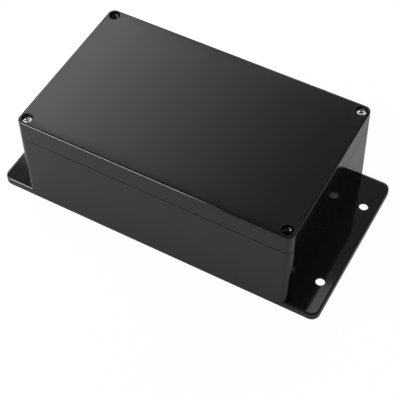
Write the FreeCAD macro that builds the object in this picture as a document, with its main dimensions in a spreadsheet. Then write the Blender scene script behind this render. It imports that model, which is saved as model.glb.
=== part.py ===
import FreeCAD, Part
import math
import os
import Sketcher
from FreeCAD import Vector

# Flanged project box: a drafted base moulding with two mounting flanges, a lid, a cord seal
# in the lid's groove, four brass inserts in the screw posts and two countersunk screws.
# Origin: middle of the underside. X along the box, Y across it, Z up. Millimetres, degrees.

SIZES = {
    # Outer form, measured at the parting line between base and lid
    "box_length": 200.0,
    "box_width": 120.0,
    "corner_radius": 5.0,
    "base_height": 59.0,
    "lid_height": 16.0,
    "draft_angle": 1.0,
    "lid_edge_radius": 1.2,
    "parting_chamfer": 0.25,
    # Walls
    "wall": 3.5,
    "floor_thickness": 3.0,
    "lid_plate": 3.0,
    # Mounting flanges
    "flange_reach": 21.6,
    "flange_height": 5.5,
    "flange_corner_radius": 6.0,
    "flange_edge_radius": 1.5,
    "flange_plate": 2.0,
    "flange_skirt": 2.0,
    "flange_rib": 2.0,
    "mount_inset_end": 9.6,
    "mount_inset_side": 25.3,
    "mount_hole_diameter": 6.5,
    # Tongue of the base, groove of the lid and the cord between them
    "cord_diameter": 1.9,
    "cord_clearance": 0.05,
    "tongue_clearance": 0.25,
    "tongue_height": 2.6,
    "seal_gap": 0.3,
    "groove_rib": 1.5,
    "post_wall": 2.9,
    "seal_bend": 10.0,
    # Lid screws and their inserts
    "screw_inset": 5.8,
    "screw_diameter": 3.5,
    "screw_length": 25.0,
    "screw_head_diameter": 6.8,
    "screw_head_rim": 0.4,
    "recess_span": 3.9,
    "recess_slot": 0.9,
    "recess_depth": 1.4,
    "well_clearance": 0.5,
    "well_depth": 2.2,
    "screw_hole_clearance": 0.25,
    "seat_clearance": 0.1,
    "insert_wall": 0.7,
    "insert_length": 8.0,
    "thread_clearance": 0.05,
    "tip_clearance": 2.3,
    # Standoffs for a circuit board on the floor
    "standoff_inset": 20.0,
    "standoff_diameter": 7.0,
    "standoff_height": 5.0,
    "standoff_hole_diameter": 2.8,
}

doc = FreeCAD.newDocument("project_box")
sheet = doc.addObject("Spreadsheet::Sheet", "Sizes")
for row, (alias, size) in enumerate(SIZES.items(), start=1):
    sheet.set(f"A{row}", alias)
    sheet.set(f"B{row}", str(size))
    sheet.setAlias(f"B{row}", alias)
doc.recompute()


def value(expression):
    """Number that an expression on the sheet gives."""
    result = sheet.evalExpression(expression)
    return float(getattr(result, "Value", result))


# Places that several pieces share, as expressions on the sheet
HALF_LENGTH = "Sizes.box_length / 2"
HALF_WIDTH = "Sizes.box_width / 2"
TOTAL_HEIGHT = "(Sizes.base_height + Sizes.lid_height)"
FOOT_SPREAD = "Sizes.base_height * tan(Sizes.draft_angle)"
SCREW_X = "(Sizes.box_length / 2 - Sizes.screw_inset)"
SCREW_Y = "(Sizes.box_width / 2 - Sizes.screw_inset)"
SEAT_TOP = f"({TOTAL_HEIGHT} - Sizes.well_depth)"
GROOVE_HALF = "(Sizes.cord_diameter / 2 + Sizes.cord_clearance)"
GROOVE_DEPTH = "(Sizes.tongue_height + Sizes.seal_gap + Sizes.cord_diameter)"
TONGUE_HALF = f"({GROOVE_HALF} - Sizes.tongue_clearance)"
SEAL_INSET = f"(Sizes.wall - {TONGUE_HALF})"
INSERT_BORE = "(Sizes.screw_diameter / 2 + Sizes.thread_clearance)"
INSERT_RADIUS = f"({INSERT_BORE} + Sizes.insert_wall)"
INSERT_HOLE_DEPTH = "(Sizes.screw_length + Sizes.well_depth - Sizes.lid_height + Sizes.tip_clearance)"
MOUNT_X = "(Sizes.box_length / 2 + Sizes.flange_reach - Sizes.mount_inset_end)"
MOUNT_Y = "(Sizes.box_width / 2 - Sizes.mount_inset_side)"
STANDOFF_X = "(Sizes.box_length / 2 - Sizes.standoff_inset)"
STANDOFF_Y = "(Sizes.box_width / 2 - Sizes.standoff_inset)"


def new_body(label):
    body = doc.addObject("PartDesign::Body", label)
    body.Label = label
    return body


def new_sketch(body, name, plane="XY_Plane", offset="0"):
    """Sketch on one of the body's own origin planes, moved along the plane's normal."""
    origin = {feature.Role: feature for feature in body.Origin.OriginFeatures}
    sketch = body.newObject("Sketcher::SketchObject", name)
    sketch.AttachmentSupport = [(origin[plane], "")]
    sketch.MapMode = "FlatFace"
    sketch.setExpression("AttachmentOffset.Base.z", offset)
    return sketch


def drive(sketch, kind, references, expression):
    """Dimension of a sketch, bound to the sheet."""
    index = sketch.addConstraint(Sketcher.Constraint(kind, *references, value(expression)))
    sketch.setExpression(f"Constraints[{index}]", expression)


def place_point(sketch, geometry, point, axis, sign, expression):
    """Distance of a point from the sketch's origin along X or Y, on the side that sign gives."""
    from_origin = (-1, 1, geometry, point)
    to_origin = (geometry, point, -1, 1)
    drive(sketch, f"Distance{axis}", from_origin if sign > 0 else to_origin, expression)


def arc_between(sketch, centre, radius, start, end):
    """Arc drawn anticlockwise from the direction of one point to that of another."""
    circle = Part.Circle(centre, Vector(0, 0, 1), radius)
    first = math.atan2(start.y - centre.y, start.x - centre.x)
    last = math.atan2(end.y - centre.y, end.x - centre.x)
    if last <= first:
        last += 2 * math.pi
    return sketch.addGeometry(Part.ArcOfCircle(circle, first, last))


def circle_at(sketch, sign_x, x, sign_y, y, diameter):
    """Circle at a place given from the sketch's origin."""
    centre = Vector(sign_x * value(x), sign_y * value(y), 0)
    geometry = sketch.addGeometry(Part.Circle(centre, Vector(0, 0, 1), value(diameter) / 2))
    place_point(sketch, geometry, 3, "X", sign_x, x)
    place_point(sketch, geometry, 3, "Y", sign_y, y)
    drive(sketch, "Diameter", (geometry,), diameter)


CORNERS = ((1, 1), (-1, 1), (-1, -1), (1, -1))


def rounded_loop(sketch, reach_x, reach_y, radius):
    """Rectangle about the origin with rounded corners."""
    x, y, r = value(reach_x), value(reach_y), value(radius)
    arcs = []
    for sx, sy in CORNERS:
        centre = Vector(sx * (x - r), sy * (y - r), 0)
        on_side = Vector(sx * x, centre.y, 0)
        on_end = Vector(centre.x, sy * y, 0)
        start, end = (on_side, on_end) if sx == sy else (on_end, on_side)
        arcs.append((arc_between(sketch, centre, r, start, end), start, end))
    lines = []
    for k in range(4):
        following = arcs[(k + 1) % 4]
        lines.append(sketch.addGeometry(Part.LineSegment(arcs[k][2], following[1])))
    for k in range(4):
        sketch.addConstraint(Sketcher.Constraint("Tangent", arcs[k][0], 2, lines[k], 1))
        sketch.addConstraint(Sketcher.Constraint("Tangent", lines[k], 2, arcs[(k + 1) % 4][0], 1))
    for k, direction in enumerate(("Horizontal", "Vertical", "Horizontal", "Vertical")):
        sketch.addConstraint(Sketcher.Constraint(direction, lines[k]))
    for arc, _, _ in arcs[1:]:
        sketch.addConstraint(Sketcher.Constraint("Equal", arcs[0][0], arc))
    drive(sketch, "Radius", (arcs[0][0],), radius)
    place_point(sketch, lines[0], 1, "Y", 1, reach_y)
    place_point(sketch, lines[1], 1, "X", -1, reach_x)
    place_point(sketch, lines[2], 1, "Y", -1, reach_y)
    place_point(sketch, lines[3], 1, "X", 1, reach_x)


def box_loop(sketch, left, right, low, high):
    """Rectangle between four expressions, which may be negative."""
    x0, x1, y0, y1 = value(left), value(right), value(low), value(high)
    points = [Vector(x0, y0, 0), Vector(x1, y0, 0), Vector(x1, y1, 0), Vector(x0, y1, 0)]
    edges = [sketch.addGeometry(Part.LineSegment(points[k], points[(k + 1) % 4])) for k in range(4)]
    for k in range(4):
        sketch.addConstraint(Sketcher.Constraint("Coincident", edges[k], 2, edges[(k + 1) % 4], 1))
    for k, direction in enumerate(("Horizontal", "Vertical", "Horizontal", "Vertical")):
        sketch.addConstraint(Sketcher.Constraint(direction, edges[k]))
    for geometry, axis, number, expression in ((edges[0], "X", x0, left), (edges[1], "X", x1, right),
                                               (edges[0], "Y", y0, low), (edges[2], "Y", y1, high)):
        away = expression if number > 0 else f"-({expression})"
        place_point(sketch, geometry, 1, axis, 1 if number > 0 else -1, away)


def seal_loop(sketch, inward):
    """Loop that runs along the four walls and turns inside each screw post.

    inward is the expression of its distance from the seal's middle line, positive towards
    the inside. Each corner is three arcs: a bend off the wall, the arc round the post and a
    bend back to the next wall.
    """
    reach_x = f"{HALF_LENGTH} - {SEAL_INSET} - ({inward})"
    reach_y = f"{HALF_WIDTH} - {SEAL_INSET} - ({inward})"
    round_post = f"{INSERT_RADIUS} + Sizes.post_wall + {TONGUE_HALF} + ({inward})"
    bend = f"Sizes.seal_bend - ({inward})"
    x, y, post, turn = value(reach_x), value(reach_y), value(round_post), value(bend)
    screw_x, screw_y = value(SCREW_X), value(SCREW_Y)
    down = screw_y - math.sqrt((post + turn) ** 2 - (x - turn - screw_x) ** 2)
    back = screw_x - math.sqrt((post + turn) ** 2 - (y - turn - screw_y) ** 2)
    corners = []
    for sx, sy in CORNERS:
        centre = Vector(sx * screw_x, sy * screw_y, 0)
        by_end = Vector(sx * (x - turn), sy * down, 0)
        by_side = Vector(sx * back, sy * (y - turn), 0)
        end_wall = Vector(sx * x, by_end.y, 0)
        side_wall = Vector(by_side.x, sy * y, 0)
        bends = [(by_end, end_wall), (by_side, side_wall)]
        if sx != sy:
            bends.reverse()
        (first, enter), (second, leave) = bends
        touch_first = centre + (first - centre) * (post / (post + turn))
        touch_second = centre + (second - centre) * (post / (post + turn))
        arc_in = arc_between(sketch, first, turn, enter, touch_first)
        arc_post = arc_between(sketch, centre, post, touch_second, touch_first)
        arc_out = arc_between(sketch, second, turn, touch_second, leave)
        corners.append((arc_in, arc_post, arc_out, enter, leave, sx, sy))
    walls = []
    for k in range(4):
        walls.append(sketch.addGeometry(Part.LineSegment(corners[k - 1][4], corners[k][3])))
    for k, (arc_in, arc_post, arc_out, _, _, sx, sy) in enumerate(corners):
        for references in ((walls[k], 2, arc_in, 1), (arc_in, 2, arc_post, 2),
                           (arc_post, 1, arc_out, 1), (arc_out, 2, walls[(k + 1) % 4], 1)):
            sketch.addConstraint(Sketcher.Constraint("Tangent", *references))
        place_point(sketch, arc_post, 3, "X", sx, SCREW_X)
        place_point(sketch, arc_post, 3, "Y", sy, SCREW_Y)
        drive(sketch, "Radius", (arc_post,), round_post)
        drive(sketch, "Radius", (arc_in,), bend)
        drive(sketch, "Radius", (arc_out,), bend)
    for k, direction in enumerate(("Vertical", "Horizontal", "Vertical", "Horizontal")):
        sketch.addConstraint(Sketcher.Constraint(direction, walls[k]))
    place_point(sketch, walls[0], 1, "X", 1, reach_x)
    place_point(sketch, walls[1], 1, "Y", 1, reach_y)
    place_point(sketch, walls[2], 1, "X", -1, reach_x)
    place_point(sketch, walls[3], 1, "Y", -1, reach_y)


def polygon(sketch, points):
    """Closed outline through points given as pairs of expressions, each point bound."""
    places = [Vector(value(x), value(y), 0) for x, y in points]
    count = len(points)
    edges = [sketch.addGeometry(Part.LineSegment(places[k], places[(k + 1) % count]))
             for k in range(count)]
    for k in range(count):
        sketch.addConstraint(Sketcher.Constraint("Coincident", edges[k], 2, edges[(k + 1) % count], 1))
        for axis, number, expression in (("X", places[k].x, points[k][0]),
                                         ("Y", places[k].y, points[k][1])):
            if abs(number) < 1e-9:
                fixed = "PointOnObject"
                sketch.addConstraint(Sketcher.Constraint(fixed, edges[k], 1, -2 if axis == "X" else -1))
            else:
                away = expression if number > 0 else f"-({expression})"
                place_point(sketch, edges[k], 1, axis, 1 if number > 0 else -1, away)


def pad(body, sketch, name, length, taper="0", downwards=False):
    """Solid from the sketch's plane; a positive taper widens it along the way."""
    feature = body.newObject("PartDesign::Pad", name)
    feature.Profile = sketch
    feature.setExpression("Length", length)
    feature.setExpression("TaperAngle", taper)
    feature.Reversed = downwards
    body.Tip = feature
    return feature


def pocket(body, sketch, name, depth, upwards=False):
    """Straight cut from the sketch's plane, downwards unless told otherwise."""
    feature = body.newObject("PartDesign::Pocket", name)
    feature.Profile = sketch
    feature.setExpression("Length", depth)
    feature.Reversed = upwards
    body.Tip = feature
    return feature


def edges_where(feature, test):
    """Names of the edges of a feature whose points all pass a test."""
    names = []
    for index, edge in enumerate(feature.Shape.Edges, start=1):
        first, last = edge.ParameterRange
        samples = [edge.valueAt(first + (last - first) * k / 4) for k in range(5)]
        if all(test(point) for point in samples):
            names.append(f"Edge{index}")
    return names


def fillet(body, base, name, edges, radius):
    feature = body.newObject("PartDesign::Fillet", name)
    feature.Base = (base, edges)
    feature.setExpression("Radius", radius)
    body.Tip = feature
    return feature


def chamfer(body, base, name, edges, size):
    feature = body.newObject("PartDesign::Chamfer", name)
    feature.Base = (base, edges)
    feature.setExpression("Size", size)
    body.Tip = feature
    return feature


def mirrored(body, features, name, planes):
    """Copies of features in one or two of the body's origin planes."""
    origin = {feature.Role: feature for feature in body.Origin.OriginFeatures}
    pattern = body.newObject("PartDesign::MultiTransform", name)
    pattern.Originals = features
    steps = []
    for plane in planes:
        step = body.newObject("PartDesign::Mirrored", f"{name}_{plane[:2].lower()}")
        step.MirrorPlane = (origin[plane], [""])
        steps.append(step)
    pattern.Transformations = steps
    body.Tip = pattern
    return pattern


# Base: drafted walls, flanges, tongue, screw posts and standoffs in one moulding
def make_base():
    body = new_body("base")
    foot_x = f"{HALF_LENGTH} + Sizes.flange_reach"
    foot_y = f"{HALF_WIDTH} + {FOOT_SPREAD}"

    plate_sketch = new_sketch(body, "flange_outline")
    rounded_loop(plate_sketch, foot_x, foot_y, "Sizes.flange_corner_radius")
    plate = pad(body, plate_sketch, "flange_slab", "Sizes.flange_height", "-Sizes.draft_angle")
    doc.recompute()
    top = value("Sizes.flange_height")
    edges = edges_where(plate, lambda point: abs(point.z - top) < 0.001)
    fillet(body, plate, "flange_edge", edges, "Sizes.flange_edge_radius")

    wall_sketch = new_sketch(body, "box_outline", offset="Sizes.base_height")
    rounded_loop(wall_sketch, HALF_LENGTH, HALF_WIDTH, "Sizes.corner_radius")
    walls = pad(body, wall_sketch, "box_walls", "Sizes.base_height", "Sizes.draft_angle", True)
    doc.recompute()
    level = value("Sizes.base_height")
    edges = edges_where(walls, lambda point: abs(point.z - level) < 0.001)
    chamfer(body, walls, "rim_chamfer", edges, "Sizes.parting_chamfer")

    cavity_sketch = new_sketch(body, "cavity_outline", offset="Sizes.base_height")
    seal_loop(cavity_sketch, TONGUE_HALF)
    pocket(body, cavity_sketch, "cavity", "Sizes.base_height - Sizes.floor_thickness")

    tongue_sketch = new_sketch(body, "tongue_outline", offset="Sizes.base_height")
    seal_loop(tongue_sketch, TONGUE_HALF)
    seal_loop(tongue_sketch, f"-{TONGUE_HALF}")
    pad(body, tongue_sketch, "tongue", "Sizes.tongue_height")

    insert_sketch = new_sketch(body, "insert_holes_outline", offset="Sizes.base_height")
    for sx, sy in CORNERS:
        circle_at(insert_sketch, sx, SCREW_X, sy, SCREW_Y, f"2 * {INSERT_RADIUS}")
    pocket(body, insert_sketch, "insert_holes", INSERT_HOLE_DEPTH)

    standoff_sketch = new_sketch(body, "standoff_outline", offset="Sizes.floor_thickness")
    pilot_sketch = new_sketch(body, "pilot_outline", offset="Sizes.floor_thickness")
    for sx, sy in CORNERS:
        circle_at(standoff_sketch, sx, STANDOFF_X, sy, STANDOFF_Y, "Sizes.standoff_diameter")
        circle_at(pilot_sketch, sx, STANDOFF_X, sy, STANDOFF_Y, "Sizes.standoff_hole_diameter")
    pad(body, standoff_sketch, "standoffs", "Sizes.standoff_height")
    pocket(body, pilot_sketch, "pilot_holes", "Sizes.standoff_height", True)

    # Underside of each flange: three hollows between the skirt and two ribs
    hollow_sketch = new_sketch(body, "hollow_outline")
    inner = f"{HALF_LENGTH} + {FOOT_SPREAD} + Sizes.flange_skirt"
    outer = f"{foot_x} - Sizes.flange_skirt - Sizes.flange_height * tan(Sizes.draft_angle)"
    side = f"{foot_y} - Sizes.flange_skirt - Sizes.flange_height * tan(Sizes.draft_angle)"
    rib_near = f"{MOUNT_Y} / 2 - Sizes.flange_rib / 2"
    rib_far = f"{MOUNT_Y} / 2 + Sizes.flange_rib / 2"
    box_loop(hollow_sketch, inner, outer, f"-({rib_near})", rib_near)
    box_loop(hollow_sketch, inner, outer, rib_far, side)
    box_loop(hollow_sketch, inner, outer, f"-({side})", f"-({rib_far})")
    hollows = pocket(body, hollow_sketch, "flange_hollows",
                     "Sizes.flange_height - Sizes.flange_plate", True)
    mirrored(body, [hollows], "both_flanges", ["YZ_Plane"])

    hole_sketch = new_sketch(body, "mount_outline")
    for sx, sy in CORNERS:
        circle_at(hole_sketch, sx, MOUNT_X, sy, MOUNT_Y, "Sizes.mount_hole_diameter")
    pocket(body, hole_sketch, "mount_holes", "Sizes.flange_height", True)
    return body


# Lid: drafted cap with a cord groove and a countersunk well over each screw post
def make_lid():
    body = new_body("lid")
    cap_sketch = new_sketch(body, "cap_outline", offset="Sizes.base_height")
    rounded_loop(cap_sketch, HALF_LENGTH, HALF_WIDTH, "Sizes.corner_radius")
    cap = pad(body, cap_sketch, "cap", "Sizes.lid_height", "-Sizes.draft_angle")
    doc.recompute()
    top = value(TOTAL_HEIGHT)
    level = value("Sizes.base_height")
    edges = edges_where(cap, lambda point: abs(point.z - top) < 0.001)
    rounded = fillet(body, cap, "lid_edge", edges, "Sizes.lid_edge_radius")
    doc.recompute()
    edges = edges_where(rounded, lambda point: abs(point.z - level) < 0.001)
    chamfer(body, rounded, "skirt_chamfer", edges, "Sizes.parting_chamfer")

    hollow_sketch = new_sketch(body, "lid_cavity_outline", offset="Sizes.base_height")
    seal_loop(hollow_sketch, f"{GROOVE_HALF} + Sizes.groove_rib")
    pocket(body, hollow_sketch, "lid_cavity", "Sizes.lid_height - Sizes.lid_plate", True)

    groove_sketch = new_sketch(body, "groove_outline", offset="Sizes.base_height")
    seal_loop(groove_sketch, GROOVE_HALF)
    seal_loop(groove_sketch, f"-{GROOVE_HALF}")
    pocket(body, groove_sketch, "groove", GROOVE_DEPTH, True)

    well_sketch = new_sketch(body, "well_profile", "XZ_Plane", f"-{SCREW_Y}")
    well = "Sizes.screw_head_diameter / 2 + Sizes.well_clearance"
    head = "Sizes.screw_head_diameter / 2 + Sizes.seat_clearance"
    bore = "Sizes.screw_diameter / 2 + Sizes.screw_hole_clearance"
    rim = f"{SEAT_TOP} - Sizes.screw_head_rim - Sizes.seat_clearance"
    above = f"{TOTAL_HEIGHT} + Sizes.lid_plate"
    below = "Sizes.base_height - Sizes.tongue_height"
    polygon(well_sketch, (
        (SCREW_X, below),
        (f"{SCREW_X} + {bore}", below),
        (f"{SCREW_X} + {bore}", f"{rim} - ({head}) + {bore}"),
        (f"{SCREW_X} + {well}", f"{rim} - ({head}) + {well}"),
        (f"{SCREW_X} + {well}", above),
        (SCREW_X, above),
    ))
    wells = body.newObject("PartDesign::Groove", "well")
    wells.Profile = well_sketch
    wells.ReferenceAxis = (well_sketch, ["Edge6"])
    wells.Angle = 360
    body.Tip = wells
    doc.recompute()
    mirrored(body, [wells], "wells", ["YZ_Plane", "XZ_Plane"])
    return body


# Cord seal: one closed ring of silicone cord against the ceiling of the lid's groove, with
# its round section drawn as eight flats
def make_cord_seal():
    body = new_body("sealing_cord")
    level = f"Sizes.base_height + {GROOVE_DEPTH} - Sizes.cord_diameter / 2"
    path_sketch = new_sketch(body, "cord_route", offset=level)
    seal_loop(path_sketch, "0")
    section_sketch = new_sketch(body, "cord_section", "XZ_Plane")
    middle = f"{HALF_LENGTH} - {SEAL_INSET}"
    flat = "Sizes.cord_diameter / 2"
    half_flat = f"{flat} * tan(22.5)"
    polygon(section_sketch, [(f"{middle} + {x}", f"{level} + {y}") for x, y in (
        (flat, half_flat), (half_flat, flat), (f"-{half_flat}", flat), (f"-{flat}", half_flat),
        (f"-{flat}", f"-{half_flat}"), (f"-{half_flat}", f"-{flat}"),
        (half_flat, f"-{flat}"), (flat, f"-{half_flat}"),
    )])
    cord = body.newObject("PartDesign::AdditivePipe", "cord")
    cord.Profile = section_sketch
    cord.Spine = (path_sketch, [])
    body.Tip = cord
    return body


# Lid screw: countersunk head with a cross recess, plain shank of the thread's outer size
def make_screw(label, sx, sy):
    body = new_body(label)
    profile = new_sketch(body, f"{label}_profile", "XZ_Plane")
    head = "Sizes.screw_head_diameter / 2"
    shank = "Sizes.screw_diameter / 2"
    polygon(profile, (
        ("0", "0"),
        ("0", "-Sizes.screw_length"),
        (shank, "-Sizes.screw_length"),
        (shank, f"-Sizes.screw_head_rim - {head} + {shank}"),
        (head, "-Sizes.screw_head_rim"),
        (head, "0"),
    ))
    turned = body.newObject("PartDesign::Revolution", f"{label}_blank")
    turned.Profile = profile
    turned.ReferenceAxis = (profile, ["V_Axis"])
    turned.Angle = 360
    body.Tip = turned
    recess = new_sketch(body, f"{label}_recess")
    span = "Sizes.recess_span / 2"
    slot = "Sizes.recess_slot / 2"
    polygon(recess, (
        (span, slot), (slot, slot), (slot, span), (f"-{slot}", span), (f"-{slot}", slot),
        (f"-{span}", slot), (f"-{span}", f"-{slot}"), (f"-{slot}", f"-{slot}"),
        (f"-{slot}", f"-{span}"), (slot, f"-{span}"), (slot, f"-{slot}"), (span, f"-{slot}"),
    ))
    pocket(body, recess, f"{label}_cross", "Sizes.recess_depth")
    body.setExpression("Placement.Base.x", f"{sx} * {SCREW_X}")
    body.setExpression("Placement.Base.y", f"{sy} * {SCREW_Y}")
    body.setExpression("Placement.Base.z", SEAT_TOP)
    return body


# Brass insert: sleeve pressed into a screw post, flush with the parting face
def make_insert(label, sx, sy):
    body = new_body(label)
    profile = new_sketch(body, f"{label}_profile", "XZ_Plane")
    polygon(profile, (
        (INSERT_BORE, "0"),
        (INSERT_BORE, "-Sizes.insert_length"),
        (INSERT_RADIUS, "-Sizes.insert_length"),
        (INSERT_RADIUS, "0"),
    ))
    sleeve = body.newObject("PartDesign::Revolution", f"{label}_sleeve")
    sleeve.Profile = profile
    sleeve.ReferenceAxis = (profile, ["V_Axis"])
    sleeve.Angle = 360
    body.Tip = sleeve
    body.setExpression("Placement.Base.x", f"{sx} * {SCREW_X}")
    body.setExpression("Placement.Base.y", f"{sy} * {SCREW_Y}")
    body.setExpression("Placement.Base.z", "Sizes.base_height")
    return body


# Every post has its insert, and the screws stand in two wells across the lid's diagonal
POSTS = {"front_left": (-1, -1), "front_right": (1, -1), "back_left": (-1, 1), "back_right": (1, 1)}
SCREWED_POSTS = ("front_left", "back_right")

pieces = [make_base(), make_lid(), make_cord_seal()]
for place, (sx, sy) in POSTS.items():
    pieces.append(make_insert(f"brass_insert_{place}", sx, sy))
for place in SCREWED_POSTS:
    pieces.append(make_screw(f"lid_screw_{place}", *POSTS[place]))
doc.recompute()

for obj in doc.Objects:
    if {"Invalid", "Error"} & set(obj.State):
        raise RuntimeError(f"{obj.Name} did not compute: {obj.State}")
for piece in pieces:
    if piece.Shape.isNull() or not piece.Shape.isValid() or len(piece.Shape.Solids) != 1:
        raise RuntimeError(f"{piece.Label} is not one valid solid")

os.makedirs("parts", exist_ok=True)
for piece in pieces:
    piece.Shape.exportStep(f"parts/{piece.Label}.step")
    box = piece.Shape.BoundBox
    print(f"{piece.Label}: volume {piece.Shape.Volume:.1f} mm3, "
          f"x {box.XMin:.2f} to {box.XMax:.2f}, y {box.YMin:.2f} to {box.YMax:.2f}, "
          f"z {box.ZMin:.2f} to {box.ZMax:.2f}")
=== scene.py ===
import math

import bpy
from mathutils import Matrix, Vector


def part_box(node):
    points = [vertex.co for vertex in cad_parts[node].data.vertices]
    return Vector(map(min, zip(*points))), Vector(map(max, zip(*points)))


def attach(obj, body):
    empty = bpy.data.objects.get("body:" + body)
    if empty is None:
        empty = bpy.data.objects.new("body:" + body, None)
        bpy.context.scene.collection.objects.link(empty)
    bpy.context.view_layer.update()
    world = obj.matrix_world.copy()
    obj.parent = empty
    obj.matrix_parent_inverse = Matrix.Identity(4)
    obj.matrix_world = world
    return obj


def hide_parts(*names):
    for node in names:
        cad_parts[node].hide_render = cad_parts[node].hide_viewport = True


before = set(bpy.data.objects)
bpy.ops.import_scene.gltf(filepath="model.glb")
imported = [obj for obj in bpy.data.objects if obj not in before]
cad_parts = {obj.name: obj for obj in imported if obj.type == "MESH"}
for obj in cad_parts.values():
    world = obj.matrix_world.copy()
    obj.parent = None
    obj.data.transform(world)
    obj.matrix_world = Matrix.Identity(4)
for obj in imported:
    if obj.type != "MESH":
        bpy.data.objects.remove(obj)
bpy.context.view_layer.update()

bl_info = {
    "name": "Flanged Project Box",
    "version": (1, 0, 0),
    "blender": (4, 5, 0),
    "location": "View3D > Sidebar > Project Box",
    "description": "Builds a glossy black plastic box with a screwed lid around its CAD frame",
    "category": "Add Mesh",
}

MM = 0.001

# Places and radii of the CAD frame, in millimetres
PARTING = 59.0          # height of the joint between base and lid
LID_TOP = 75.0
FLANGE_TOP = 5.5
MOUNT_INSET = 9.6       # mounting hole from the flange's end
MOUNT_Y = 34.7          # mounting hole from the middle plane
MOUNT_RADIUS = 3.25
WELL_RADIUS = 3.9
SHANK = 1.75            # radius of the lid screws
BORE = 1.8              # radius of the inserts' bore
POST_ARC = 6.15         # cord's arc round a post
CORD_BEND = 10.0        # cord's bends beside a post

# Edges that stay sharp in the shading, from this many degrees up
MOULDING_EDGE = 32
HARDWARE_EDGE = 30
CORD_EDGE = 60


def node_box(name):
    """Lowest and highest corners of a CAD node, in millimetres."""
    low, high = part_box(name)
    return Vector(low) / MM, Vector(high) / MM


def node_axis(name):
    """Middle of a CAD node seen from above, in millimetres."""
    low, high = node_box(name)
    return (low.x + high.x) / 2, (low.y + high.y) / 2


def linear_colour(hex_code):
    """Linear RGB of an sRGB hex value."""
    channels = [int(hex_code[k:k + 2], 16) / 255 for k in (1, 3, 5)]
    return tuple(c / 12.92 if c <= 0.04045 else ((c + 0.055) / 1.055) ** 2.4 for c in channels)


# Sizes and colours

class FinishSettings(bpy.types.PropertyGroup):
    plastic_colour: bpy.props.FloatVectorProperty(
        name="Plastic colour", description="Body colour of the base and the lid",
        subtype="COLOR", size=3, min=0, max=1, default=linear_colour("#0c0c0d"))
    plastic_roughness: bpy.props.FloatProperty(
        name="Plastic roughness", description="How blurred the reflections in the plastic are",
        subtype="FACTOR", min=0, max=1, default=0.05)
    steel_colour: bpy.props.FloatVectorProperty(
        name="Screw colour", description="Colour of the bright zinc plate",
        subtype="COLOR", size=3, min=0, max=1, default=linear_colour("#e2e3e4"))
    brass_colour: bpy.props.FloatVectorProperty(
        name="Insert colour", description="Colour of the turned inserts",
        subtype="COLOR", size=3, min=0, max=1, default=linear_colour("#dcb870"))
    cord_colour: bpy.props.FloatVectorProperty(
        name="Cord colour", description="Colour of the silicone seal",
        subtype="COLOR", size=3, min=0, max=1, default=linear_colour("#ecece8"))


class HardwareSettings(bpy.types.PropertyGroup):
    thread_pitch: bpy.props.FloatProperty(
        name="Thread pitch", description="Rise of the screw thread in one turn",
        unit="LENGTH", default=0.6 * MM)
    thread_depth: bpy.props.FloatProperty(
        name="Thread depth", description="Radial depth of the screw thread",
        unit="LENGTH", default=0.36 * MM)
    head_rim: bpy.props.FloatProperty(
        name="Head rim", description="Height of the upright rim of the screw head",
        unit="LENGTH", default=0.4 * MM)
    recess_span: bpy.props.FloatProperty(
        name="Recess span", description="Length of the cross recess from wing to wing",
        unit="LENGTH", default=4.3 * MM)
    recess_slot: bpy.props.FloatProperty(
        name="Recess slot", description="Width of each wing of the cross recess",
        unit="LENGTH", default=1.05 * MM)
    recess_depth: bpy.props.FloatProperty(
        name="Recess depth", description="Depth of the cross recess",
        unit="LENGTH", default=1.9 * MM)
    cross_front_left: bpy.props.FloatProperty(
        name="Front left cross", description="Turn of the front left screw's cross",
        subtype="ANGLE", default=math.radians(48.8))
    cross_back_right: bpy.props.FloatProperty(
        name="Back right cross", description="Turn of the back right screw's cross",
        subtype="ANGLE", default=math.radians(30.2))
    knurl_teeth: bpy.props.IntProperty(
        name="Knurl teeth", description="Teeth round each insert's knurled bands", default=30)
    groove_depth: bpy.props.FloatProperty(
        name="Parting groove", description="Depth of the shadow gap between base and lid",
        unit="LENGTH", default=0.8 * MM)
    rim_bevel: bpy.props.FloatProperty(
        name="Hole edge", description="Rounding of the edges of the wells and mounting holes",
        unit="LENGTH", default=0.2 * MM)


class StageSettings(bpy.types.PropertyGroup):
    camera_azimuth: bpy.props.FloatProperty(
        name="Camera azimuth", description="Turn of the camera about the vertical",
        subtype="ANGLE", default=math.radians(30.16))
    camera_elevation: bpy.props.FloatProperty(
        name="Camera elevation", description="Height of the camera above the horizon",
        subtype="ANGLE", default=math.radians(52.92))
    camera_roll: bpy.props.FloatProperty(
        name="Camera roll", description="Tilt of the camera about its own axis",
        subtype="ANGLE", default=math.radians(-1.467))
    camera_distance: bpy.props.FloatProperty(
        name="Camera distance", description="Distance of the camera along its line of sight",
        unit="LENGTH", default=0.772)
    camera_right: bpy.props.FloatProperty(
        name="Move right", description="Sideways move of the camera",
        unit="LENGTH", default=0.00257)
    camera_up: bpy.props.FloatProperty(
        name="Move up", description="Move of the camera along its own up direction",
        unit="LENGTH", default=-0.01051)
    camera_lens: bpy.props.FloatProperty(
        name="Lens", description="Focal length in millimetres on a 36 mm sensor", default=98.76)


# Small helpers

def add_node(tree, kind, settings=None, inputs=None):
    """Adds a shader node, sets its properties, and fills or links its inputs."""
    node = tree.nodes.new(kind)
    for name, setting in (settings or {}).items():
        setattr(node, name, setting)
    for name, given in (inputs or {}).items():
        if isinstance(given, bpy.types.NodeSocket):
            tree.links.new(given, node.inputs[name])
        else:
            node.inputs[name].default_value = given
    return node


def new_material(name):
    """Empty node material with its output node."""
    material = bpy.data.materials.new(name)
    material.use_nodes = True
    tree = material.node_tree
    tree.nodes.clear()
    return material, tree, add_node(tree, "ShaderNodeOutputMaterial")


def only(piece):
    """Leaves one object selected and active."""
    if bpy.context.object and bpy.context.object.mode != "OBJECT":
        bpy.ops.object.mode_set(mode="OBJECT")
    bpy.ops.object.select_all(action="DESELECT")
    piece.select_set(True)
    bpy.context.view_layer.objects.active = piece


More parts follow.
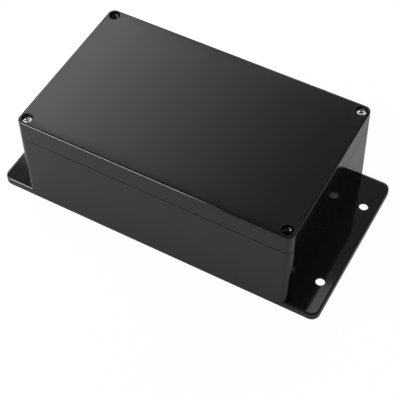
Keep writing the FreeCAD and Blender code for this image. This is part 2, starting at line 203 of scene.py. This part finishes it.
def pick(piece, kind, test):
    """Opens edit mode with the vertices, edges or faces selected that pass a test."""
    only(piece)
    bpy.ops.object.mode_set(mode="EDIT")
    bpy.ops.mesh.select_mode(type=kind)
    bpy.ops.mesh.select_all(action="DESELECT")
    bpy.ops.object.mode_set(mode="OBJECT")
    mesh = piece.data
    for item in {"VERT": mesh.vertices, "EDGE": mesh.edges, "FACE": mesh.polygons}[kind]:
        item.select = bool(test(item))
    bpy.ops.object.mode_set(mode="EDIT")


def edge_points(piece, edge):
    """Both ends of an edge, in millimetres."""
    return [piece.data.vertices[k].co / MM for k in edge.vertices]


def apply_modifier(piece, kind, **settings):
    """Adds a modifier and applies it."""
    only(piece)
    bpy.ops.object.modifier_add(type=kind)
    modifier = piece.modifiers[-1]
    for name, setting in settings.items():
        setattr(modifier, name, setting)
    bpy.ops.object.modifier_apply(modifier=modifier.name)


def combine(piece, tool, operation):
    """Boolean of a piece with a tool solid, whose finish its cut faces keep."""
    apply_modifier(piece, "BOOLEAN", object=tool, operation=operation, solver="EXACT",
                   material_mode="TRANSFER")
    bpy.data.objects.remove(tool)


def smooth(piece, angle):
    """Smooth shading that stops at every edge sharper than an angle in degrees."""
    only(piece)
    bpy.ops.object.shade_smooth()
    bpy.ops.object.mode_set(mode="EDIT")
    bpy.ops.mesh.select_mode(type="EDGE")
    bpy.ops.mesh.select_all(action="DESELECT")
    bpy.ops.mesh.edges_select_sharp(sharpness=math.radians(angle))
    bpy.ops.mesh.mark_sharp()
    bpy.ops.object.mode_set(mode="OBJECT")


def settle(piece, angle=HARDWARE_EDGE):
    """Merges doubles, turns the faces outwards and smooths all but the sharp edges."""
    only(piece)
    bpy.ops.object.mode_set(mode="EDIT")
    bpy.ops.mesh.select_all(action="SELECT")
    bpy.ops.mesh.remove_doubles(threshold=0.002 * MM)
    bpy.ops.mesh.normals_make_consistent(inside=False)
    bpy.ops.object.mode_set(mode="OBJECT")
    smooth(piece, angle)


def coat(piece, material):
    """Gives a piece one material."""
    piece.data.materials.clear()
    piece.data.materials.append(material)


def dress(piece, node, body):
    """Puts a finished piece in the place of its CAD node."""
    piece.name = node + "_dressed"
    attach(piece, body)
    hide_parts(node)


def copy_to(piece, name, x, y, turn):
    """Copy of a piece modelled about the Z axis, turned and moved to its own axis."""
    only(piece)
    bpy.ops.object.duplicate(linked=False)
    copy = bpy.context.object
    copy.name = name
    copy.rotation_euler = (0, 0, turn)
    copy.location = (x * MM, y * MM, 0)
    bpy.ops.object.transform_apply(location=True, rotation=True, scale=True)
    return copy


# Finishes

def gloss_black_abs(settings):
    """Black ABS moulded in a polished mould.

    Nearly black and mirror-like, with the slow waviness of cooled plastic and a fine grain
    that shows only where a pale floor is reflected at a low angle.
    """
    material, tree, output = new_material("gloss_black_abs")
    coords = add_node(tree, "ShaderNodeTexCoord")
    place = coords.outputs["Object"]
    # Waves about 9 mm long from uneven cooling, a hundredth of a millimetre high
    waves = add_node(tree, "ShaderNodeTexNoise", None,
                     {"Vector": place, "Scale": 1 / (9 * MM), "Detail": 1.0})
    # Grain of the mould's polish, drawn at 0.7 mm so that it shows
    grain = add_node(tree, "ShaderNodeTexNoise", None,
                     {"Vector": place, "Scale": 1 / (0.7 * MM), "Detail": 2.0})
    wavy = add_node(tree, "ShaderNodeBump", None,
                    {"Height": waves.outputs["Fac"], "Strength": 1.0, "Distance": 0.012 * MM})
    rough = add_node(tree, "ShaderNodeBump", None,
                     {"Height": grain.outputs["Fac"], "Strength": 1.0, "Distance": 0.003 * MM,
                      "Normal": wavy.outputs["Normal"]})
    # Cloudy patches 30 mm wide where the gloss is a little lower
    clouds = add_node(tree, "ShaderNodeTexNoise", None,
                      {"Vector": place, "Scale": 1 / (30 * MM), "Detail": 3.0})
    gloss = add_node(tree, "ShaderNodeMapRange", None, {
        "Value": clouds.outputs["Fac"], "From Min": 0.35, "From Max": 0.65,
        "To Min": settings.plastic_roughness, "To Max": settings.plastic_roughness * 1.5})
    shader = add_node(tree, "ShaderNodeBsdfPrincipled", None, {
        "Base Color": (*settings.plastic_colour, 1), "Roughness": gloss.outputs["Result"],
        "IOR": 1.53, "Normal": rough.outputs["Normal"]})
    tree.links.new(shader.outputs["BSDF"], output.inputs["Surface"])
    return material


def zinc_plated_steel(settings):
    """Steel with bright zinc plate: silvery, faintly cloudy, with a fine crystal grain."""
    material, tree, output = new_material("zinc_plated_steel")
    coords = add_node(tree, "ShaderNodeTexCoord")
    place = coords.outputs["Object"]
    clouds = add_node(tree, "ShaderNodeTexNoise", None,
                      {"Vector": place, "Scale": 1 / (1.5 * MM), "Detail": 3.0})
    tint = add_node(tree, "ShaderNodeMix", {"data_type": "RGBA"}, {
        "Factor": clouds.outputs["Fac"], "A": (*linear_colour("#c9ccd0"), 1),
        "B": (*settings.steel_colour, 1)})
    gloss = add_node(tree, "ShaderNodeMapRange", None, {
        "Value": clouds.outputs["Fac"], "From Min": 0.3, "From Max": 0.7,
        "To Min": 0.3, "To Max": 0.42})
    # Crystals of the plate, about 0.12 mm wide and 0.008 mm high
    grain = add_node(tree, "ShaderNodeTexNoise", None,
                     {"Vector": place, "Scale": 1 / (0.12 * MM), "Detail": 2.0})
    bump = add_node(tree, "ShaderNodeBump", None,
                    {"Height": grain.outputs["Fac"], "Strength": 1.0, "Distance": 0.008 * MM})
    shader = add_node(tree, "ShaderNodeBsdfPrincipled", None, {
        "Base Color": tint.outputs["Result"], "Roughness": gloss.outputs["Result"],
        "Metallic": 1.0, "Normal": bump.outputs["Normal"]})
    tree.links.new(shader.outputs["BSDF"], output.inputs["Surface"])
    return material


def recess_painted_shade():
    """Zinc in the cross recess with painted shade: darker grey and rougher than the head, so that
    the cross reads dark.
    """
    material, tree, output = new_material("zinc_with_painted_recess_shade")
    coords = add_node(tree, "ShaderNodeTexCoord")
    specks = add_node(tree, "ShaderNodeTexNoise", None,
                      {"Vector": coords.outputs["Object"], "Scale": 1 / (0.3 * MM), "Detail": 3.0})
    # Darker greys with random specks, painting the recess's shade
    tint = add_node(tree, "ShaderNodeMix", {"data_type": "RGBA"}, {
        "Factor": specks.outputs["Fac"], "A": (*linear_colour("#4b4c4e"), 1),
        "B": (*linear_colour("#77797c"), 1)})
    shader = add_node(tree, "ShaderNodeBsdfPrincipled", None, {
        "Base Color": tint.outputs["Result"], "Roughness": 0.45, "Metallic": 1.0})
    tree.links.new(shader.outputs["BSDF"], output.inputs["Surface"])
    return material


def turned_brass(settings):
    """Free-cutting brass off a lathe: warm yellow with rings left by the tool."""
    material, tree, output = new_material("turned_brass")
    coords = add_node(tree, "ShaderNodeTexCoord")
    place = coords.outputs["Object"]
    # Tool rings every 0.15 mm along the insert
    rings = add_node(tree, "ShaderNodeTexWave", {"bands_direction": "Z"},
                     {"Vector": place, "Scale": 0.314 / (0.15 * MM), "Distortion": 0.4})
    tarnish = add_node(tree, "ShaderNodeTexNoise", None,
                       {"Vector": place, "Scale": 1 / (2 * MM), "Detail": 4.0})
    tint = add_node(tree, "ShaderNodeMix", {"data_type": "RGBA"}, {
        "Factor": tarnish.outputs["Fac"], "A": (*linear_colour("#b98f4c"), 1),
        "B": (*settings.brass_colour, 1)})
    gloss = add_node(tree, "ShaderNodeMapRange", None, {
        "Value": tarnish.outputs["Fac"], "From Min": 0.3, "From Max": 0.7,
        "To Min": 0.38, "To Max": 0.22})
    bump = add_node(tree, "ShaderNodeBump", None,
                    {"Height": rings.outputs["Fac"], "Strength": 0.6, "Distance": 0.004 * MM})
    shader = add_node(tree, "ShaderNodeBsdfPrincipled", None, {
        "Base Color": tint.outputs["Result"], "Roughness": gloss.outputs["Result"],
        "Metallic": 1.0, "Normal": bump.outputs["Normal"]})
    tree.links.new(shader.outputs["BSDF"], output.inputs["Surface"])
    return material


def white_silicone(settings):
    """Extruded silicone: milky white, soft sheen, light passing a millimetre into it."""
    material, tree, output = new_material("white_silicone")
    coords = add_node(tree, "ShaderNodeTexCoord")
    place = coords.outputs["Object"]
    milk = add_node(tree, "ShaderNodeTexNoise", None,
                    {"Vector": place, "Scale": 1 / (6 * MM), "Detail": 2.0})
    tint = add_node(tree, "ShaderNodeMix", {"data_type": "RGBA"}, {
        "Factor": milk.outputs["Fac"], "A": (*linear_colour("#dcdcd6"), 1),
        "B": (*settings.cord_colour, 1)})
    # Drag lines and dust of the extrusion, about 0.3 mm
    drag = add_node(tree, "ShaderNodeTexNoise", None,
                    {"Vector": place, "Scale": 1 / (0.3 * MM), "Detail": 2.0})
    gloss = add_node(tree, "ShaderNodeMapRange", None, {
        "Value": drag.outputs["Fac"], "From Min": 0.3, "From Max": 0.7,
        "To Min": 0.38, "To Max": 0.55})
    bump = add_node(tree, "ShaderNodeBump", None,
                    {"Height": drag.outputs["Fac"], "Strength": 0.5, "Distance": 0.01 * MM})
    shader = add_node(tree, "ShaderNodeBsdfPrincipled", None, {
        "Base Color": tint.outputs["Result"], "Roughness": gloss.outputs["Result"],
        "IOR": 1.41, "Subsurface Weight": 0.35, "Subsurface Scale": 1 * MM,
        "Normal": bump.outputs["Normal"]})
    tree.links.new(shader.outputs["BSDF"], output.inputs["Surface"])
    return material


# Base and lid

def moulding(node):
    """Copy of a moulding's solid with joined vertices and whole flat faces."""
    only(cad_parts[node])
    bpy.ops.object.duplicate(linked=False)
    piece = bpy.context.object
    # Tags of the frame's node, which the copy must not keep
    for key in list(piece.keys()):
        del piece[key]
    bpy.ops.object.mode_set(mode="EDIT")
    bpy.ops.mesh.select_all(action="SELECT")
    bpy.ops.mesh.remove_doubles(threshold=0.001 * MM)
    bpy.ops.mesh.dissolve_limited(angle_limit=math.radians(0.3))
    bpy.ops.object.mode_set(mode="OBJECT")
    return piece


def open_groove(piece, low, high, depth):
    """Sinks the sloping band between two heights at the parting line, to make a dark gap."""
    def on_band(face):
        # Only the band on the outer faces, told by its distance from the middle
        heights = [piece.data.vertices[k].co.z / MM for k in face.vertices]
        x, y = abs(face.center.x) / MM, abs(face.center.y) / MM
        outside = x > 99 or y > 59 or (x > 96 and y > 56)
        slopes = 0.3 < abs(face.normal.z) < 0.95
        return min(heights) > low and max(heights) < high and outside and slopes
    pick(piece, "FACE", on_band)
    bpy.ops.mesh.extrude_region_shrink_fatten(
        TRANSFORM_OT_shrink_fatten={"value": -depth})
    bpy.ops.object.mode_set(mode="OBJECT")


def round_holes(piece, height, radius, places, width):
    """Rounds the edges of holes at a height, about axes given in millimetres."""
    def on_rim(edge):
        for p in edge_points(piece, edge):
            near = min(math.hypot(p.x - x, p.y - y) for x, y in places)
            if abs(p.z - height) > 0.02 or abs(near - radius) > 0.05:
                return False
        return True
    pick(piece, "EDGE", on_rim)
    bpy.ops.mesh.bevel(offset=width, segments=2, affect="EDGES")
    bpy.ops.object.mode_set(mode="OBJECT")


def finish_moulding(piece, material):
    """Smooth rounds and flat faces, by normals that follow the larger faces."""
    smooth(piece, MOULDING_EDGE)
    apply_modifier(piece, "WEIGHTED_NORMAL", keep_sharp=True, weight=100, thresh=1e-5)
    coat(piece, material)


class BOX_OT_base(bpy.types.Operator):
    """Base moulding with its flanges, in gloss black plastic"""
    bl_idname = "project_box.base"
    bl_label = "Base"

    def execute(self, context):
        hardware = context.scene.box_hardware
        piece = moulding("base")
        open_groove(piece, PARTING - 0.4, PARTING + 0.1, hardware.groove_depth)
        x = node_box("base")[1].x - MOUNT_INSET
        places = [(sx * x, sy * MOUNT_Y) for sx in (-1, 1) for sy in (-1, 1)]
        round_holes(piece, FLANGE_TOP, MOUNT_RADIUS, places, hardware.rim_bevel)
        finish_moulding(piece, gloss_black_abs(context.scene.box_finish))
        dress(piece, "base", "base")
        return {"FINISHED"}


class BOX_OT_lid(bpy.types.Operator):
    """Lid moulding with its four screw wells"""
    bl_idname = "project_box.lid"
    bl_label = "Lid"

    def execute(self, context):
        hardware = context.scene.box_hardware
        piece = moulding("lid")
        open_groove(piece, PARTING - 0.1, PARTING + 0.4, hardware.groove_depth)
        x, y = node_axis("lid_screw_back_right")
        places = [(sx * x, sy * y) for sx in (-1, 1) for sy in (-1, 1)]
        round_holes(piece, LID_TOP, WELL_RADIUS, places, hardware.rim_bevel)
        finish_moulding(piece, bpy.data.materials["gloss_black_abs"])
        dress(piece, "lid", "lid")
        return {"FINISHED"}


# Screws and inserts

def first_point(name, place):
    """One vertex at a place in millimetres, selected in edit mode, to draw a line from."""
    bpy.ops.object.select_all(action="DESELECT")
    bpy.ops.mesh.primitive_plane_add(size=MM, location=(0, 0, 0))
    piece = bpy.context.object
    piece.name = name
    bpy.ops.object.mode_set(mode="EDIT")
    bpy.ops.mesh.select_mode(type="VERT")
    bpy.ops.mesh.select_all(action="SELECT")
    bpy.ops.mesh.merge(type="CENTER")
    bpy.ops.transform.translate(value=[c * MM for c in place])
    return piece


def draw_by(x, y, z):
    """Extrudes the selected point by a step in millimetres."""
    bpy.ops.mesh.extrude_region_move(TRANSFORM_OT_translate={"value": (x * MM, y * MM, z * MM)})


def outline(name, points):
    """Open profile drawn from one corner point to the next, in the XZ plane."""
    (r0, z0), *others = points
    piece = first_point(name, (r0, 0, z0))
    for r1, z1 in others:
        draw_by(r1 - r0, 0, z1 - z0)
        r0, z0 = r1, z1
    bpy.ops.object.mode_set(mode="OBJECT")
    return piece


def threaded_rod(name, low, high, outer, depth, pitch):
    """Rod with a 60 degree thread about the Z axis, flat at both ends; millimetres."""
    inner = outer - depth
    flank = depth * math.tan(math.radians(30))
    crest = pitch / 8
    start = low - 2 * pitch
    root = pitch - 2 * flank - crest
    piece = outline(name, [(inner, start), (inner, start + root), (outer, start + root + flank),
                           (outer, start + root + flank + crest), (inner, start + pitch)])
    turns = math.ceil((high - low) / pitch) + 4
    apply_modifier(piece, "SCREW", axis="Z", angle=2 * math.pi, screw_offset=pitch * MM,
                   iterations=turns, steps=24, render_steps=24, use_merge_vertices=True,
                   merge_threshold=0.0005 * MM)
    settle(piece)
    for level, normal in ((low, -1), (high, 1)):
        pick(piece, "VERT", lambda vertex: True)
        bpy.ops.mesh.bisect(plane_co=(0, 0, level * MM), plane_no=(0, 0, normal),
                            use_fill=True, clear_outer=True, threshold=0.0005 * MM)
    settle(piece)
    return piece


def turned(name, points, steps=48):
    """Solid turned about the Z axis from a profile that starts and ends on it."""
    piece = outline(name, points)
    pick(piece, "VERT", lambda vertex: True)
    bpy.ops.mesh.spin(steps=steps, angle=2 * math.pi, center=(0, 0, 0), axis=(0, 0, 1))
    settle(piece)
    return piece


def wing(length, width, top, depth, turn):
    """Tapered cutter of the cross recess, narrower at its bottom; millimetres."""
    bpy.ops.object.select_all(action="DESELECT")
    bpy.ops.mesh.primitive_cube_add(size=1, location=(0, 0, (top - depth / 2 + 0.25) * MM))
    piece = bpy.context.object
    piece.scale = (length * MM, width * MM, (depth + 0.5) * MM)
    piece.rotation_euler = (0, 0, turn)
    bpy.ops.object.transform_apply(location=True, rotation=True, scale=True)
    low = min(vertex.co.z for vertex in piece.data.vertices)
    pick(piece, "FACE", lambda face: face.center.z < low + 0.01 * MM)
    bpy.ops.transform.resize(value=(0.5, 0.5, 1))
    bpy.ops.object.mode_set(mode="OBJECT")
    return piece


class BOX_OT_screws(bpy.types.Operator):
    """The two countersunk lid screws with their threads and cross recesses"""
    bl_idname = "project_box.screws"
    bl_label = "Screws"

    def execute(self, context):
        hardware = context.scene.box_hardware
        low, high = node_box("lid_screw_back_right")
        head = (high.x - low.x) / 2
        tip, top = low.z, high.z
        rim = top - hardware.head_rim / MM
        neck = rim - (head - SHANK)
        # Countersunk head with a flat top and a rounded edge
        screw = turned("screw", [
            (0, top), (head - 0.35, top), (head - 0.18, top - 0.03), (head - 0.05, top - 0.11),
            (head, top - 0.22), (head, rim), (SHANK, neck), (SHANK - 0.1, neck - 0.3),
            (SHANK - 0.35, rim - 2.4), (0, rim - 2.4)])
        plate = zinc_plated_steel(context.scene.box_finish)
        # Darker zinc that paints the shade in the cross recess
        recess_shade_finish = recess_painted_shade()
        coat(screw, plate)
        span = hardware.recess_span / MM
        slot = hardware.recess_slot / MM
        depth = hardware.recess_depth / MM
        # Two wings, and a square turned between them that opens the middle
        for length, width, turn in ((span, slot, 0), (span, slot, math.pi / 2),
                                    (slot * 1.7, slot * 1.7, math.pi / 4)):
            cutter = wing(length, width, top, depth, turn)
            # The cut faces keep the cutter's darker zinc, painted shade in the recess
            coat(cutter, recess_shade_finish)
            combine(screw, cutter, "DIFFERENCE")
        rod = threaded_rod("rod", tip, rim - 1.9, SHANK,
                           hardware.thread_depth / MM, hardware.thread_pitch / MM)
        coat(rod, plate)
        # The tip's first turn is turned down to a short cone
        envelope = turned("envelope", [
            (0, tip - 0.2), (SHANK - 0.45, tip - 0.2), (SHANK - 0.45, tip),
            (SHANK + 0.05, tip + 0.5), (SHANK + 0.05, top), (0, top)])
        coat(envelope, plate)
        combine(rod, envelope, "INTERSECT")
        combine(screw, rod, "UNION")
        settle(screw)
        for corner, turn in (("front_left", hardware.cross_front_left),
                             ("back_right", hardware.cross_back_right)):
            node = f"lid_screw_{corner}"
            copy = copy_to(screw, node, *node_axis(node), turn)
            dress(copy, node, f"screw_{corner}")
        bpy.data.objects.remove(screw)
        return {"FINISHED"}


class BOX_OT_inserts(bpy.types.Operator):
    """The four knurled and threaded brass inserts"""
    bl_idname = "project_box.inserts"
    bl_label = "Inserts"

    def execute(self, context):
        hardware = context.scene.box_hardware
        low, high = node_box("brass_insert_front_left")
        radius = (high.x - low.x) / 2
        middle = (low.z + high.z) / 2
        teeth = hardware.knurl_teeth
        bpy.ops.object.select_all(action="DESELECT")
        bpy.ops.mesh.primitive_cylinder_add(
            vertices=2 * teeth, radius=radius * MM, depth=(high.z - low.z) * MM,
            location=(0, 0, middle * MM))
        sleeve = context.object
        bpy.ops.object.transform_apply(location=True, rotation=True, scale=True)
        # Rings for the chamfers, two knurled bands and the groove between them
        bands = [(low.z + 0.5, middle - 0.6), (middle + 0.6, high.z - 0.5)]
        levels = []
        for start, end in bands:
            levels += [start + (end - start) * k / 6 for k in range(7)]
        for level in (*levels, low.z + 0.25, middle - 0.35, middle + 0.35, high.z - 0.25):
            pick(sleeve, "FACE", lambda face: True)
            bpy.ops.mesh.bisect(plane_co=(0, 0, level * MM), plane_no=(0, 0, 1),
                                threshold=0.0005 * MM)
        # The groove and the chamfered ends, drawn in to shares of the radius
        grooves = (lambda z: abs(z - middle) < 0.4, lambda z: z < low.z + 0.3 or z > high.z - 0.3)
        for inside, share in zip(grooves, (0.86, 0.93)):
            pick(sleeve, "VERT", lambda vertex: inside(vertex.co.z / MM))
            bpy.ops.transform.resize(value=(share, share, 1))
        # Diamond knurl: every other tooth is low, and the turn changes from ring to ring
        def valley(vertex):
            height = vertex.co.z / MM
            ring = [k for k, level in enumerate(levels) if abs(level - height) < 0.02]
            step = round(math.atan2(vertex.co.y, vertex.co.x) / math.pi * teeth)
            return bool(ring) and (step + ring[0]) % 2 == 0
        pick(sleeve, "VERT", valley)
        bpy.ops.transform.resize(value=(0.94, 0.94, 1))
        bpy.ops.object.mode_set(mode="OBJECT")
        # Tapped bore: the thread's crests keep clear of the screw
        tap = threaded_rod("tap", low.z - 1, high.z + 1, BORE + 0.3, 0.3,
                           hardware.thread_pitch / MM)
        combine(sleeve, tap, "DIFFERENCE")
        mouth = turned("mouth", [(0, high.z - 0.35), (BORE - 0.05, high.z - 0.35),
                                 (BORE + 0.4, high.z + 0.1), (0, high.z + 0.1)])
        combine(sleeve, mouth, "DIFFERENCE")
        settle(sleeve)
        coat(sleeve, turned_brass(context.scene.box_finish))
        for corner in ("front_left", "front_right", "back_left", "back_right"):
            node = f"brass_insert_{corner}"
            x, y = node_axis(node)
            copy = copy_to(sleeve, node, x, y, math.atan2(y, x))
            dress(copy, node, "base")
        bpy.data.objects.remove(sleeve)
        return {"FINISHED"}


# Seal

class BOX_OT_cord(bpy.types.Operator):
    """Round silicone cord in the lid's groove"""
    bl_idname = "project_box.cord"
    bl_label = "Sealing cord"

    def execute(self, context):
        low, high = node_box("sealing_cord")
        radius = (high.z - low.z) / 2
        level = (low.z + high.z) / 2
        end, side = high.x - radius, high.y - radius
        post_x, post_y = node_axis("lid_screw_back_right")
        # Centres of the two bends of a corner, which touch the wall runs and the arc round the post
        reach = POST_ARC + CORD_BEND
        x, y = end - CORD_BEND, side - CORD_BEND
        first = Vector((x, post_y - math.sqrt(reach ** 2 - (x - post_x) ** 2), level))
        second = Vector((post_x - math.sqrt(reach ** 2 - (y - post_y) ** 2), y, level))
        centre = Vector((post_x, post_y, level))

        def heading(a, b):
            return math.atan2(b.y - a.y, b.x - a.x)
        round_post = heading(centre, second) - heading(centre, first)
        cord = first_point("cord", (end, 0, level))
        draw_by(0, first.y, 0)
        turns = ((first, heading(first, centre), 8),
                 (centre, (round_post + math.pi) % (2 * math.pi) - math.pi, 12),
                 (second, math.pi / 2 - heading(second, centre), 8))
        for middle, angle, steps in turns:
            bpy.ops.mesh.spin(steps=steps, angle=angle, center=middle * MM, axis=(0, 0, -1))
        draw_by(-second.x, 0, 0)
        bpy.ops.object.mode_set(mode="OBJECT")
        apply_modifier(cord, "MIRROR", use_axis=(True, True, False), use_mirror_merge=True,
                       merge_threshold=0.01 * MM)
        settle(cord)
        bpy.ops.object.convert(target="CURVE")
        cord = context.object
        cord.data.bevel_depth = radius * MM
        cord.data.bevel_resolution = 6
        cord.data.use_fill_caps = False
        bpy.ops.object.convert(target="MESH")
        cord = context.object
        settle(cord, CORD_EDGE)
        coat(cord, white_silicone(context.scene.box_finish))
        dress(cord, "sealing_cord", "lid")
        return {"FINISHED"}


# Stage

def glowing_panel(name, low, high, height, strength):
    """Level light panel between two corners given in metres, which only reflections see."""
    bpy.ops.object.select_all(action="DESELECT")
    middle = ((low[0] + high[0]) / 2, (low[1] + high[1]) / 2, height)
    bpy.ops.mesh.primitive_plane_add(size=1, location=middle)
    panel = bpy.context.object
    panel.name = name
    panel.scale = (high[0] - low[0], high[1] - low[1], 1)
    bpy.ops.object.transform_apply(location=True, rotation=True, scale=True)
    material, tree, output = new_material(name + "_light")
    glow = add_node(tree, "ShaderNodeEmission", None, {"Strength": strength})
    tree.links.new(glow.outputs["Emission"], output.inputs["Surface"])
    coat(panel, material)
    panel.visible_camera = panel.visible_diffuse = False
    return tree, glow


def softbox(name, place, size, radiance, target=(0, 0, 0.03)):
    """Rectangular lamp of even radiance, turned to a target; metres."""
    bpy.ops.object.select_all(action="DESELECT")
    bpy.ops.object.light_add(type="AREA", location=place)
    lamp = bpy.context.object
    lamp.name = name
    lamp.data.shape = "RECTANGLE"
    lamp.data.size, lamp.data.size_y = size
    lamp.data.energy = radiance * math.pi * size[0] * size[1]
    aim = Vector(target) - lamp.location
    lamp.rotation_euler = aim.to_track_quat("-Z", "Y").to_euler()
    return lamp


class BOX_OT_stage(bpy.types.Operator):
    """Pale floor, soft lights and the camera"""
    bl_idname = "project_box.stage"
    bl_label = "Stage"

    def execute(self, context):
        scene = context.scene
        settings = scene.box_stage
        bpy.ops.object.select_all(action="DESELECT")
        bpy.ops.mesh.primitive_circle_add(vertices=96, radius=3.0, fill_type="NGON",
                                          location=(0, 0, -0.05 * MM))
        floor = context.object
        floor.name = "floor"
        # White to the camera with a trace of shadow; reflections see it as the lamps light it
        material, tree, output = new_material("pale_floor")
        paths = add_node(tree, "ShaderNodeLightPath")
        seen = add_node(tree, "ShaderNodeMath", {"operation": "MULTIPLY"},
                        {0: paths.outputs["Is Camera Ray"], 1: 0.94})
        seen = add_node(tree, "ShaderNodeMath", {"operation": "MULTIPLY_ADD"},
                        {0: paths.outputs["Is Glossy Ray"], 1: 0.06, 2: seen.outputs[0]})
        seen = add_node(tree, "ShaderNodeMath", {"operation": "MAXIMUM"},
                        {0: seen.outputs[0], 1: paths.outputs["Is Transmission Ray"]})
        diffuse = add_node(tree, "ShaderNodeBsdfDiffuse", None,
                           {"Color": (*linear_colour("#ededed"), 1)})
        glow = add_node(tree, "ShaderNodeEmission", None, {"Strength": 1.03})
        both = add_node(tree, "ShaderNodeMixShader", None,
                        {0: seen.outputs[0], 1: diffuse.outputs[0], 2: glow.outputs[0]})
        # Clear from below, so that the underside of the box can be seen
        clear = add_node(tree, "ShaderNodeBsdfTransparent")
        below = add_node(tree, "ShaderNodeNewGeometry").outputs["Backfacing"]
        both = add_node(tree, "ShaderNodeMixShader", None,
                        {0: below, 1: both.outputs[0], 2: clear.outputs[0]})
        tree.links.new(both.outputs[0], output.inputs["Surface"])
        coat(floor, material)

        # Scrim behind, which the lid mirrors: brightest on the left, fading to the right. The
        # left flange mirrors its front edge, which is dim
        tree, glow = glowing_panel("scrim", (-1.03, 0.75), (0.0, 1.32), 1.5, 1.0)
        coords = add_node(tree, "ShaderNodeTexCoord")
        split = add_node(tree, "ShaderNodeSeparateXYZ", None, {0: coords.outputs["Object"]})
        fade = add_node(tree, "ShaderNodeMapRange", {"clamp": True}, {
            "Value": split.outputs["X"], "From Min": -0.97, "From Max": -0.25,
            "To Min": 1.0, "To Max": 0.0})
        fade = add_node(tree, "ShaderNodeMath", {"operation": "POWER"},
                        {0: fade.outputs[0], 1: 1.7})
        level = add_node(tree, "ShaderNodeMath", {"operation": "MULTIPLY_ADD"},
                         {0: fade.outputs[0], 1: 1.85, 2: 0.26})
        front = add_node(tree, "ShaderNodeMapRange", {"clamp": True}, {
            "Value": split.outputs["Y"], "From Min": 0.868, "From Max": 0.882,
            "To Min": 0.14, "To Max": 1.0})
        level = add_node(tree, "ShaderNodeMath", {"operation": "MULTIPLY"},
                         {0: level.outputs[0], 1: front.outputs[0]})
        tree.links.new(level.outputs[0], glow.inputs["Strength"])

        # Panels that the screw heads catch, beside and behind what the lid mirrors
        glowing_panel("side_panel", (-1.5, 0.75), (-1.08, 1.3), 1.5, 6.0)
        glowing_panel("back_panel", (-0.65, 1.36), (-0.05, 1.75), 1.5, 6.0)

        # Small panel overhead, reflected by the front end of the right flange
        glowing_panel("top_panel", (-0.25, 0.45), (-0.02, 0.885), 1.49, 1.5)

        # Strip in front on the left, which draws the bright line along the lid's edge
        strip = softbox("front_strip", (-0.6, -1.16, 0.5), (0.5, 0.6), 12)
        strip.visible_diffuse = False
        # Soft boxes that light the floor, which the walls mirror. Only the first shows in the
        # gloss itself
        softbox("front_box", (-0.48, -0.34, 0.34), (0.35, 0.35), 4.2, target=(-0.22, -0.14, 0))
        key = softbox("key_box", (-0.25, 0.1, 1.7), (1.2, 1.2), 1.55)
        back = softbox("back_box", (-0.05, 0.8, 0.45), (0.4, 0.4), 4.4, target=(0.2, 0.2, 0))
        key.visible_glossy = back.visible_glossy = False

        world = bpy.data.worlds.new("studio")
        scene.world = world
        world.use_nodes = True
        tree = world.node_tree
        tree.nodes.clear()
        background = add_node(tree, "ShaderNodeBackground", None,
                              {"Color": (1, 1, 1, 1), "Strength": 0.17})
        add_node(tree, "ShaderNodeOutputWorld", None, {"Surface": background.outputs[0]})

        turn = (Matrix.Rotation(settings.camera_azimuth, 4, "Z")
                @ Matrix.Rotation(math.pi / 2 - settings.camera_elevation, 4, "X")
                @ Matrix.Rotation(settings.camera_roll, 4, "Z"))
        place = turn @ Vector((settings.camera_right, settings.camera_up, settings.camera_distance))
        bpy.ops.object.camera_add(location=place, rotation=turn.to_euler())
        camera = context.object
        camera.data.lens = settings.camera_lens
        camera.data.sensor_width = 36
        scene.camera = camera
        scene.view_settings.view_transform = "Standard"
        return {"FINISHED"}


class BOX_PT_panel(bpy.types.Panel):
    """Lists the box's pieces, its sizes and colours, and the stage"""
    bl_label = "Project Box"
    bl_idname = "BOX_PT_panel"
    bl_space_type = "VIEW_3D"
    bl_region_type = "UI"
    bl_category = "Project Box"

    def draw(self, context):
        for operator in OPERATORS:
            self.layout.operator(operator.bl_idname)
        scene = context.scene
        for settings in (scene.box_finish, scene.box_hardware, scene.box_stage):
            for name in settings.__annotations__:
                self.layout.prop(settings, name)


OPERATORS = (BOX_OT_base, BOX_OT_lid, BOX_OT_screws, BOX_OT_inserts, BOX_OT_cord, BOX_OT_stage)
CLASSES = (FinishSettings, HardwareSettings, StageSettings, *OPERATORS, BOX_PT_panel)


def register():
    for item in CLASSES:
        bpy.utils.register_class(item)
    bpy.types.Scene.box_finish = bpy.props.PointerProperty(type=FinishSettings)
    bpy.types.Scene.box_hardware = bpy.props.PointerProperty(type=HardwareSettings)
    bpy.types.Scene.box_stage = bpy.props.PointerProperty(type=StageSettings)


def unregister():
    del bpy.types.Scene.box_finish
    del bpy.types.Scene.box_hardware
    del bpy.types.Scene.box_stage
    for item in reversed(CLASSES):
        bpy.utils.unregister_class(item)


def main():
    register()
    bpy.ops.project_box.base()
    bpy.ops.project_box.lid()
    bpy.ops.project_box.screws()
    bpy.ops.project_box.inserts()
    bpy.ops.project_box.cord()
    bpy.ops.project_box.stage()


if __name__ == "__main__":
    main()
